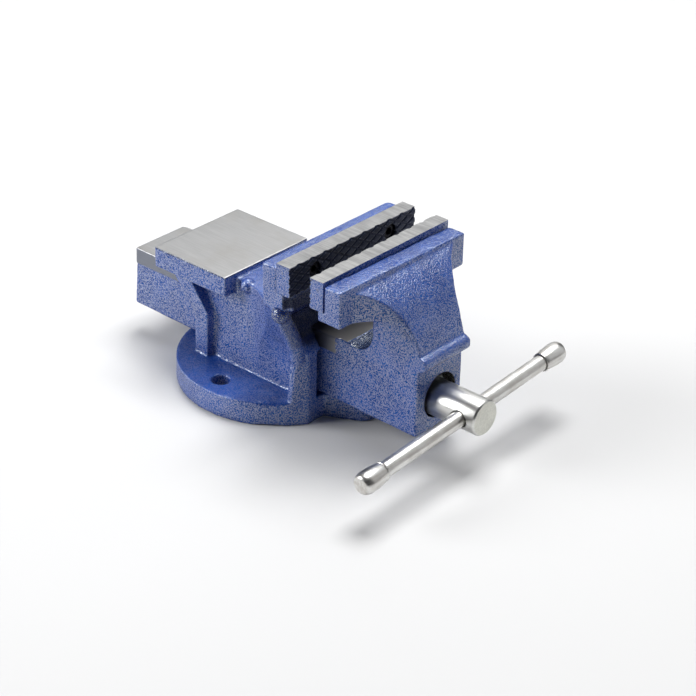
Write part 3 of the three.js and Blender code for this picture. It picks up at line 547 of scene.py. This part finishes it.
def casting(node, name, body, rounds_of, rough_of, material, shape=None):
    """Adds a cast copy of a CAD node, with rounded edges and slightly uneven painted faces.

    rounds_of and rough_of give each point its rounds of smoothing and its share of the
    unevenness; shape, if given, moves points after that. Nothing goes below the underside.
    """
    voxel = VOXEL * MM
    source = frame["nodes"][node].data.copy()
    mesh = evaluated(source, name, "REMESH", mode="VOXEL", voxel_size=voxel)
    co = of_vertices(mesh, "co") / MM
    edges = np.empty(len(mesh.edges) * 2, np.int64)
    mesh.edges.foreach_get("vertices", edges)
    rounds = rounds_of(co) * (VOXEL * MM / voxel) ** 2
    co = softened(co, edges.reshape(-1, 2), rounds)
    mesh.vertices.foreach_set("co", (co * MM).ravel())
    mesh.update()
    (high, slow), (low, fast) = UNEVEN
    lift = np.array([
        high * noise.noise(Vector(p) * slow) + low * noise.noise(Vector(p) * fast)
        for p in co
    ])
    co = co + of_vertices(mesh, "normal") * (lift * rough_of(co))[:, None]
    if shape is not None:
        co = shape(co)
    co[:, 2] = np.maximum(co[:, 2], 0)
    mesh.vertices.foreach_set("co", (co * MM).ravel())
    triangles = 2 * len(mesh.polygons)
    mesh = evaluated(mesh, name, "DECIMATE", ratio=min(1, CASTING_TRIANGLES / triangles))
    mesh.shade_smooth()
    mesh.materials.clear()
    mesh.materials.append(material)
    new_object(name, mesh, body, node, "casting_paint")


def body_rounds(co):
    """A small radius on most edges; large ones on the sweep and in the recess by the ribs.

    The sweep is where the walls run up into the fixed jaw. The anvil pad's top stays sharp.
    """
    x, y, z = co.T
    side = abs(y)
    sweep = SWEEP_ROUNDS * step_up(x, *SWEEP_X) * step_up(x, *SWEEP_X_END)
    sweep = sweep * step_up(side, *SWEEP_Y) * step_up(z, *SWEEP_Z)
    recess = RECESS_ROUNDS * step_up(x, *RECESS_X) * step_up(x, *RECESS_X_END)
    recess = recess * step_up(side, *RECESS_Y)
    rounds = BODY_ROUNDS + sweep + recess
    pad = step_up(z, *PAD_SHARP_Z) * step_up(x, *PAD_SHARP_X)
    return rounds * (1 - pad) + GROUND_ROUNDS * pad


def body_rough(co):
    x, _, z = co.T
    return 1 - step_up(z, *PAD_EVEN_Z) * step_up(x, *PAD_SHARP_X)


def body_bosses(co):
    """Swells the skin round each boss at the top of a post into a clean half ball."""
    for side in (-1, 1):
        centre = np.array((BOSS[0], side * BOSS[1], BOSS[2]))
        away = co - centre
        reach = np.linalg.norm(away, axis=1)
        near = (reach < BOSS_RADIUS) & (away[:, 1] * side > BOSS_INNER) & (reach > BOSS_CORE)
        co[near] = centre + away[near] / reach[near][:, None] * BOSS_RADIUS
    return co


def slide_rounds(co):
    """A small radius on most edges, a large one in the shoulder's troughs; the rails stay sharp."""
    x, y, z = co.T
    trough = TROUGH_ROUNDS * step_up(x, *TROUGH_X) * step_up(x, *TROUGH_X_END)
    trough = trough * step_up(z, *TROUGH_Z) * step_up(abs(abs(y) - TROUGH_Y), *TROUGH_HALF)
    rounds = SLIDE_ROUNDS + trough
    rail = step_up(z, *RAIL_Z) * step_up(x, *RAIL_SHARP_X) * step_up(z, *RAIL_Z_END)
    return rounds * (1 - rail) + GROUND_ROUNDS * rail


def slide_rough(co):
    x, _, z = co.T
    return 1 - step_up(z, *RAIL_Z) * step_up(x, *RAIL_EVEN_X) * step_up(z, *RAIL_Z_END)


# ---- turned pieces ----

def lathe(name, profile, segments=64, loop=False):
    """A turned mesh about the X axis from (along, radius) pairs in mm.

    The profile starts and ends on the axis, or with loop=True closes on itself.
    """
    points, rings = [], []
    for along, radius in profile:
        if radius == 0:
            rings.append([len(points)] * segments)
            points.append((along, 0, 0))
            continue
        rings.append(list(range(len(points), len(points) + segments)))
        for k in range(segments):
            angle = 2 * math.pi * k / segments
            points.append((along, radius * math.cos(angle), radius * math.sin(angle)))
    faces = []
    for one, two in zip(rings, rings[1:] + rings[:1] if loop else rings[1:]):
        for k in range(segments):
            m = (k + 1) % segments
            corners = [one[k], two[k], two[m], one[m]]
            faces.append([c for i, c in enumerate(corners) if c not in corners[:i]])
    mesh = mesh_from(name, points, faces)
    mesh.validate()
    turn_outward(mesh)
    return mesh


def moved(mesh, place=(0, 0, 0), turn=None):
    matrix = Matrix.Translation(Vector(place))
    if turn is not None:
        matrix = matrix @ turn
    mesh.transform(matrix)
    return mesh


def facing(inward):
    """The turn that takes +X to the jaw plate's inward direction."""
    return Matrix.Rotation(0 if inward > 0 else math.pi, 4, "Z")


def cut(mesh, cutter, name):
    """The mesh with the cutter's shape taken out."""
    tool = bpy.data.objects.new("cutter", cutter)
    bpy.context.scene.collection.objects.link(tool)
    made = evaluated(
        mesh, name, "BOOLEAN", operation="DIFFERENCE", solver="MANIFOLD", object=tool,
    )
    bpy.data.objects.remove(tool)
    return made


# ---- jaw plates and their screws ----

HATCH_SLOPE = math.radians(27)
HATCH_PITCH = 10.2 * math.sin(HATCH_SLOPE)
HATCH_DEPTH = 0.7
HATCH_GROOVE = (0.95, 0.15)       # distances from a groove's middle: its rim and its bottom
HATCH_STARTS = ((1, 100.4), (-1, 98.1))            # the way each set leans, its z at y = 0
PLATE_EDGE = 0.25                 # chamfer round the grip face
PLATE_STEP, QUICK_PLATE_STEP = 0.3, 0.6
COUNTERBORE = 6.5
HOLE_MOUTH, HOLE_HEAD, HOLE_SHANK = 5.2, 4.6, 2.85
HOLE_CHAMFER = 0.45
HOLE_END = 12
SEAM = 0.25                       # paint closes this much of the gap behind the fixed plate
ON_FACE = 0.05                    # a face this close to a side of the plate lies on it
SCREW_HEAD = 4.5
SCREW_SHANK = 2.5


def hatch_depth(y, z):
    depth = np.zeros_like(y)
    for way, start in HATCH_STARTS:
        across = (z - start) * math.cos(HATCH_SLOPE) - way * y * math.sin(HATCH_SLOPE)
        distance = np.abs((across / HATCH_PITCH + 0.5) % 1 - 0.5) * HATCH_PITCH
        depth = np.maximum(depth, HATCH_DEPTH * step_up(distance, *HATCH_GROOVE))
    return depth


def plate_blank(node, low, high, grip, back, inward):
    """A jaw plate without its holes: a hatched grip face and plain sides."""
    step = PLATE_STEP

    def spread(a, b):
        inner = np.linspace(a + PLATE_EDGE, b - PLATE_EDGE, int((b - a) / step))
        return np.concatenate([[a], inner, [b]])

    y, z = np.meshgrid(spread(low[1], high[1]), spread(low[2], high[2]))
    depth = hatch_depth(y, z)
    depth[[0, -1], :] += PLATE_EDGE
    depth[1:-1, [0, -1]] += PLATE_EDGE
    front = np.stack([grip + inward * depth, y, z], axis=-1).reshape(-1, 3)
    backs = [
        (back, low[1], low[2]), (back, high[1], low[2]),
        (back, high[1], high[2]), (back, low[1], high[2]),
    ]
    n = y.size
    index = np.arange(n).reshape(y.shape)
    quads = np.stack([index[:-1, :-1], index[:-1, 1:], index[1:, 1:], index[1:, :-1]], axis=-1)
    bottom, top, near, far = (
        [int(i) for i in side] for side in (index[0], index[-1], index[:, 0], index[:, -1])
    )
    faces = [[int(i) for i in quad] for quad in quads.reshape(-1, 4)]
    faces.append([n, n + 1] + bottom[::-1])
    faces.append([n + 2, n + 3] + top)
    faces.append([n + 3, n] + near)
    faces.append([n + 1, n + 2] + far[::-1])
    faces.append([n, n + 3, n + 2, n + 1])
    mesh = mesh_from(node, [*front, *backs], faces)
    turn_outward(mesh, split_large=True)
    return mesh


def plate_mesh(node, inward):
    """A jaw plate: a hatched grip face with counterbored screw holes, a ground top, and painted back and ends."""
    low, high = box_mm(node)
    grip, back = (low[0], high[0]) if inward > 0 else (high[0], low[0] - SEAM)
    mesh = plate_blank(node, low, high, grip, back, inward)
    for end in ("near", "far"):
        first, last = box_mm(node.replace("jaw_plate", "plate_screw_") + end)
        hole = lathe("hole", [
            (-2, 0), (-2, HOLE_MOUTH), (0, HOLE_MOUTH), (HOLE_CHAMFER, HOLE_HEAD),
            (COUNTERBORE, HOLE_HEAD), (COUNTERBORE, HOLE_SHANK), (HOLE_END, HOLE_SHANK),
            (HOLE_END, 0),
        ])
        centre = (first + last) / 2
        place = (grip * MM, centre[1] * MM, centre[2] * MM)
        mesh = cut(mesh, moved(hole, place, facing(inward)), node)

    def pick(face):
        """The face's place in the list of materials below."""
        x, y, z = face.center / MM
        if face.normal.z > 0.9 and z > high[2] - ON_FACE:
            return 0
        if face.normal.x * inward > 0.9 and abs(x - back) < ON_FACE:
            return 1
        if abs(face.normal.y) > 0.9 and min(abs(y - low[1]), abs(y - high[1])) < ON_FACE:
            return 1
        return 2

    return finished(mesh, [PLATE_TOP, PAINT, HATCHED], pick)


def screw_mesh(node, inward):
    """A socket screw, its head towards the gap between the jaws."""
    low, high = box_mm(node)
    face = low[0] if inward > 0 else high[0]
    length, radius = high[0] - low[0], (high[1] - low[1]) / 2
    mesh = lathe(node, [
        (0, 0), (0, radius - 0.4), (0.12, radius - 0.2), (0.4, radius),
        (SCREW_HEAD - 0.2, radius), (SCREW_HEAD, radius - 0.2), (SCREW_HEAD, SCREW_SHANK),
        (length - 0.6, SCREW_SHANK), (length, SCREW_SHANK - 0.6), (length, 0),
    ], 48)
    socket = lathe("socket", [(-1, 0), (-1, 2.6), (0, 2.6), (0.3, 2.3), (2.6, 2.3), (3.4, 0)], 6)
    mesh = cut(mesh, socket, node)
    middle = (low + high) / 2
    place = (face * MM, middle[1] * MM, middle[2] * MM)
    return finished(moved(mesh, place, facing(inward)), [DARK])


# ---- lead screw and its rings ----

THREAD_CREST, THREAD_ROOT, THREAD_PITCH = 8.0, 6.1, 4.0
THREAD_START, THREAD_END = 2, 68.0                 # from the screw's rear end, and x
THREAD_FADE = 3                   # the first turns rise to full height over this length
THREAD_STEP, QUICK_THREAD_STEP = 0.35, 0.8
END_CHAMFER = 0.6
RELIEF = 7.2                      # radius of the groove where the thread ends
SHOULDER = 108.4                  # x where the screw's head begins
SPINDLE_SEGMENTS = 48
SHAFT_BORE = 8.4


def thread_radius(along, turn):
    """Trapezoidal thread: the radius at a distance along the screw and a share of a turn."""
    phase = np.abs((along / THREAD_PITCH - turn) % 1 - 0.5) * 2
    return THREAD_ROOT + (THREAD_CREST - THREAD_ROOT) * step_up(phase, 0.36, 0.64)


def spindle_rings(start, end, head):
    """The lead screw's rings, each a place along the axis and its radii round the axis."""
    share = np.arange(SPINDLE_SEGMENTS) / SPINDLE_SEGMENTS

    def ring(along, radius):
        return along, np.full(SPINDLE_SEGMENTS, float(radius))

    rings = [ring(start, THREAD_ROOT - END_CHAMFER), ring(start + END_CHAMFER, THREAD_ROOT)]
    step = THREAD_STEP
    for along in np.arange(start + THREAD_START, THREAD_END, step):
        fade = min(1, (along - start - END_CHAMFER) / THREAD_FADE)
        radius = thread_radius(along, share)
        rings.append((along, THREAD_ROOT + (radius - THREAD_ROOT) * fade))
    return rings + [ring(along, radius) for along, radius in (
        (THREAD_END + 1.5, RELIEF), (THREAD_END + 2.5, THREAD_CREST), (SHOULDER, THREAD_CREST),
        (SHOULDER, head - 0.7), (SHOULDER + 0.25, head - 0.25), (SHOULDER + 0.8, head),
        (end - 1.1, head), (end - 0.85, head - 0.06), (end - 0.2, head - 0.6),
        (end, head - 0.85),
    )]


def spindle_mesh():
    """The lead screw with its thread, its turned head and the hole for the handle bar."""
    low, high = box_mm("lead_screw")
    axis_z = (low[2] + high[2]) / 2
    start, end, head = low[0], high[0], (high[1] - low[1]) / 2
    rings = spindle_rings(start, end, head)
    segments = SPINDLE_SEGMENTS
    angles = 2 * math.pi * (np.arange(segments) / segments)
    points = [(start, 0, axis_z)]
    for along, radii in rings:
        points += [
            (along, r * math.cos(a), axis_z + r * math.sin(a)) for r, a in zip(radii, angles)
        ]
    points.append((end, 0, axis_z))
    faces = []
    for k in range(segments):
        m = (k + 1) % segments
        faces.append((0, 1 + m, 1 + k))
        for ring in range(len(rings) - 1):
            first = 1 + ring * segments
            faces.append((first + k, first + m, first + segments + m, first + segments + k))
        last = 1 + (len(rings) - 1) * segments
        faces.append((last + k, last + m, len(points) - 1))
    mesh = mesh_from("lead_screw", points, faces)
    centre, direction, _ = bar_line()
    turn = Vector((1, 0, 0)).rotation_difference(direction).to_matrix().to_4x4()
    hole = lathe("hole", [
        (-16, 0), (-16, 8), (-9.9, 5.5), (-9.3, 5), (9.3, 5), (9.9, 5.5), (16, 8), (16, 0),
    ])
    mesh = cut(mesh, moved(hole, (centre[0], 0, axis_z * MM), turn), "lead_screw")

    def pick(face):
        return 1 if face.normal.x > 0.9 and face.center.x > (end - 0.3) * MM else 0

    return finished(mesh, [ZINC_X, ZINC_MATT], pick)


def ring_mesh(node, edge, material):
    """A washer or collar about the screw's axis, with its edges broken."""
    low, high = box_mm(node)
    a, b, outer = low[0], high[0], (high[1] - low[1]) / 2
    bore = SHAFT_BORE
    profile = [
        (a, bore + edge), (a, outer - edge), (a + edge, outer), (b - edge, outer),
        (b, outer - edge), (b, bore + edge), (b - edge, bore), (a + edge, bore),
    ]
    place = (0, 0, (low[2] + high[2]) / 2 * MM)
    return finished(moved(lathe(node, profile, loop=True), place), [material])


# ---- handle bar and its caps ----

BAR_CHAMFER = 0.5
BAR_RINGS, BAR_INSET = 12, 6
CAP_MOUTH = 65.0                  # from the bar's middle to each cap's mouth
CAP_LENGTH = 17.0
CAP_NECK, CAP_WIDEST = 1.5, 12    # where the swell begins and where the rounded end begins
CAP_BORE, CAP_RIM, CAP_SWELL, CAP_FLAT = 4.6, 5.3, 6.2, 4.3    # radii
CAP_STEPS = 14


def bar_line():
    """The handle bar's middle, its direction and its half length, in metres."""
    low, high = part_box("handle_bar")
    joint = next(j for j in frame["joints"] if j["name"] == "handle_slide")
    direction = Vector(joint["axis"]).normalized()
    radius = (high.x - low.x) / 2
    half = ((high.y - low.y) / 2 - radius * direction.z) / direction.y
    return (low + high) / 2, direction, half


def along_bar(mesh, offset, way=1):
    """Lays a turned mesh along the handle bar, offset mm from the bar's middle."""
    middle, direction, _ = bar_line()
    turn = Vector((1, 0, 0)).rotation_difference(direction * way).to_matrix().to_4x4()
    return moved(mesh, middle + direction * (offset * MM), turn)


def bar_mesh():
    low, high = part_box("handle_bar")
    radius = (high.x - low.x) / 2 / MM
    half = bar_line()[2] / MM
    profile = [(-half, 0), (-half, radius - BAR_CHAMFER), (-half + BAR_CHAMFER, radius)]
    profile += [
        (x, radius) for x in np.linspace(-half + BAR_INSET, half - BAR_INSET, BAR_RINGS)
    ]
    profile += [(half - BAR_CHAMFER, radius), (half, radius - BAR_CHAMFER), (half, 0)]
    return finished(along_bar(lathe("handle_bar", profile), 0), [ZINC_Y])


def cap_mesh(way):
    """A pressed cap: seam ring at the mouth, a swell, and a rounded end with a flat."""
    profile = [
        (0.25, CAP_BORE), (0, CAP_BORE + 0.2), (0, CAP_RIM - 0.2), (0.2, CAP_RIM),
        (1.0, CAP_RIM + 0.12), (1.25, CAP_RIM - 0.12),
    ]
    for k in range(CAP_STEPS + 1):
        t = k / CAP_STEPS
        swell = (CAP_SWELL - CAP_RIM) * math.sin(t * math.pi / 2)
        profile.append((CAP_NECK + t * (CAP_WIDEST - CAP_NECK), CAP_RIM + swell))
    inner = CAP_FLAT - 0.5
    for k in range(1, CAP_STEPS + 1):
        t = k / CAP_STEPS * math.pi / 2
        along = CAP_WIDEST + (CAP_LENGTH - CAP_WIDEST) * math.sin(t)
        profile.append((along, inner + (CAP_SWELL - inner) * math.cos(t)))
    profile += [(CAP_LENGTH, 0), (CAP_WIDEST, 0), (CAP_WIDEST, CAP_BORE)]
    mesh = lathe("cap", profile, loop=True)
    return finished(along_bar(mesh, way * CAP_MOUTH, way), [ZINC_Y], angle=50)


# ---- studio, in metres ----

LIGHTS = (    # name, place, target, side, watts
    ("key", (-1.5, -1.5, 1.1), (0, 0, 0.05), 1.2, 50),
    ("top", (-0.05, 0.42, 1.5), (0, 0, 0.05), 0.9, 30),
    ("back", (-0.95, 1.12, 0.9), (0, 0, 0.1), 1.3, 4.4),
    ("side", (1.0, 1.15, 0.87), (0, 0, 0.05), 1.6, 4.4),
)
WORLD = (0.05, 0.052, 0.058, 1)
FLOOR_HALF = 6
FLOOR_TONES = ((0.62, 0.62, 0.62, 1), (0.66, 0.66, 0.66, 1))


def make_studio():
    scene = bpy.context.scene
    scene.view_settings.view_transform = "Standard"
    scene.world = bpy.data.worlds.new("studio")
    scene.world.use_nodes = True
    background = scene.world.node_tree.nodes["Background"]
    background.inputs["Strength"].default_value = 1.0
    background.inputs["Color"].default_value = WORLD
    for name, place, target, side, watts in LIGHTS:
        data = bpy.data.lights.new(name, "AREA")
        data.shape = "SQUARE"
        data.size = side
        data.energy = watts
        lamp = bpy.data.objects.new(name, data)
        scene.collection.objects.link(lamp)
        lamp.location = place
        aim = Vector(target) - Vector(place)
        lamp.rotation_euler = aim.to_track_quat("-Z", "Y").to_euler()
    mesh = bpy.data.meshes.new("floor")
    corners = [(x * FLOOR_HALF, y * FLOOR_HALF, 0) for x, y in ((-1, -1), (1, -1), (1, 1), (-1, 1))]
    mesh.from_pydata(corners, [], [(0, 1, 2, 3)])
    floor = bpy.data.objects.new("floor", mesh)
    scene.collection.objects.link(floor)
    n = Nodes("floor")
    n.set("Base Color", n.mix(n.noise(0.002), *FLOOR_TONES))
    n.set("Roughness", 0.9)
    n.set("Specular IOR Level", 0.1)
    mesh.materials.append(n.material)


# ---- the scene ----

make_camera()
make_studio()

PLATE_TOP = metal_material(
    "plate_top", (150, 150, 151), (192, 192, 191), (0.28, 0.36), (0.04, 1, 1), 1.2, 0.02,
)
ZINC_X = metal_material(
    "zinc_head", (204, 204, 200), (222, 222, 219), (0.3, 0.32), (0.05, 1, 1), 0.6, 0,
)
ZINC_Y = metal_material(
    "zinc_bar", (190, 186, 180), (226, 226, 224), (0.3, 0.34), (1, 0.02, 1), 0.5, 0,
)
ZINC_MATT = metal_material("zinc_end", (196, 196, 188), (222, 222, 214), (0.4, 0.55), scale=0.9)
DARK = metal_material("dark_steel", (36, 36, 40), (60, 60, 64), (0.35, 0.5))
IRON = metal_material("bare_iron", (84, 80, 76), (120, 116, 110), (0.45, 0.6))
HATCHED = hatched_steel()
PAINT = casting_material("paint")

casting(
    "body", "body_casting", "base", body_rounds, body_rough,
    casting_material("body_paint", body_look), body_bosses,
)
casting(
    "slide", "slide_casting", "jaw", slide_rounds, slide_rough,
    casting_material("slide_paint", slide_look),
)
JAWS = (("fixed", "base", -1), ("moving", "jaw", 1))
for jaw, body, inward in JAWS:
    plate = f"{jaw}_jaw_plate"
    new_object(f"{jaw}_plate", plate_mesh(plate, inward), body, plate, "jaw_plate")
for jaw, body, inward in JAWS:
    for end in ("near", "far"):
        node = f"{jaw}_plate_screw_{end}"
        name = f"{jaw}_socket_screw_{end}"
        new_object(name, screw_mesh(node, inward), body, node, "dark_steel")
new_object("spindle", spindle_mesh(), "screw", "lead_screw", "bright_zinc")
new_object("tommy_bar", bar_mesh(), "handle", "handle_bar", "bright_zinc")
for end, way in (("near", -1), ("far", 1)):
    new_object(f"bar_cap_{end}", cap_mesh(way), "handle", f"handle_cap_{end}", "bright_zinc")
for name, node, body, edge, material, slot in (
    ("thrust_ring", "thrust_washer", "jaw", 0.25, ZINC_X, "bright_zinc"),
    ("spring_seat", "retaining_washer", "jaw", 0.25, ZINC_X, "bright_zinc"),
    ("stop_collar", "retaining_collar", "screw", 0.5, IRON, "bare_iron"),
):
    new_object(name, ring_mesh(node, edge, material), body, node, slot)

# The hidden pieces that keep their CAD meshes take their looks from their slots.
SLOT_MATERIALS = {"bright_zinc": ZINC_X, "dark_steel": DARK, "bare_iron": IRON}
for part in frame["record"]["subparts"]:
    if part["material_slot"] in SLOT_MATERIALS:
        mesh = frame["nodes"][part["node"]].data
        mesh.materials.clear()
        mesh.materials.append(SLOT_MATERIALS[part["material_slot"]])
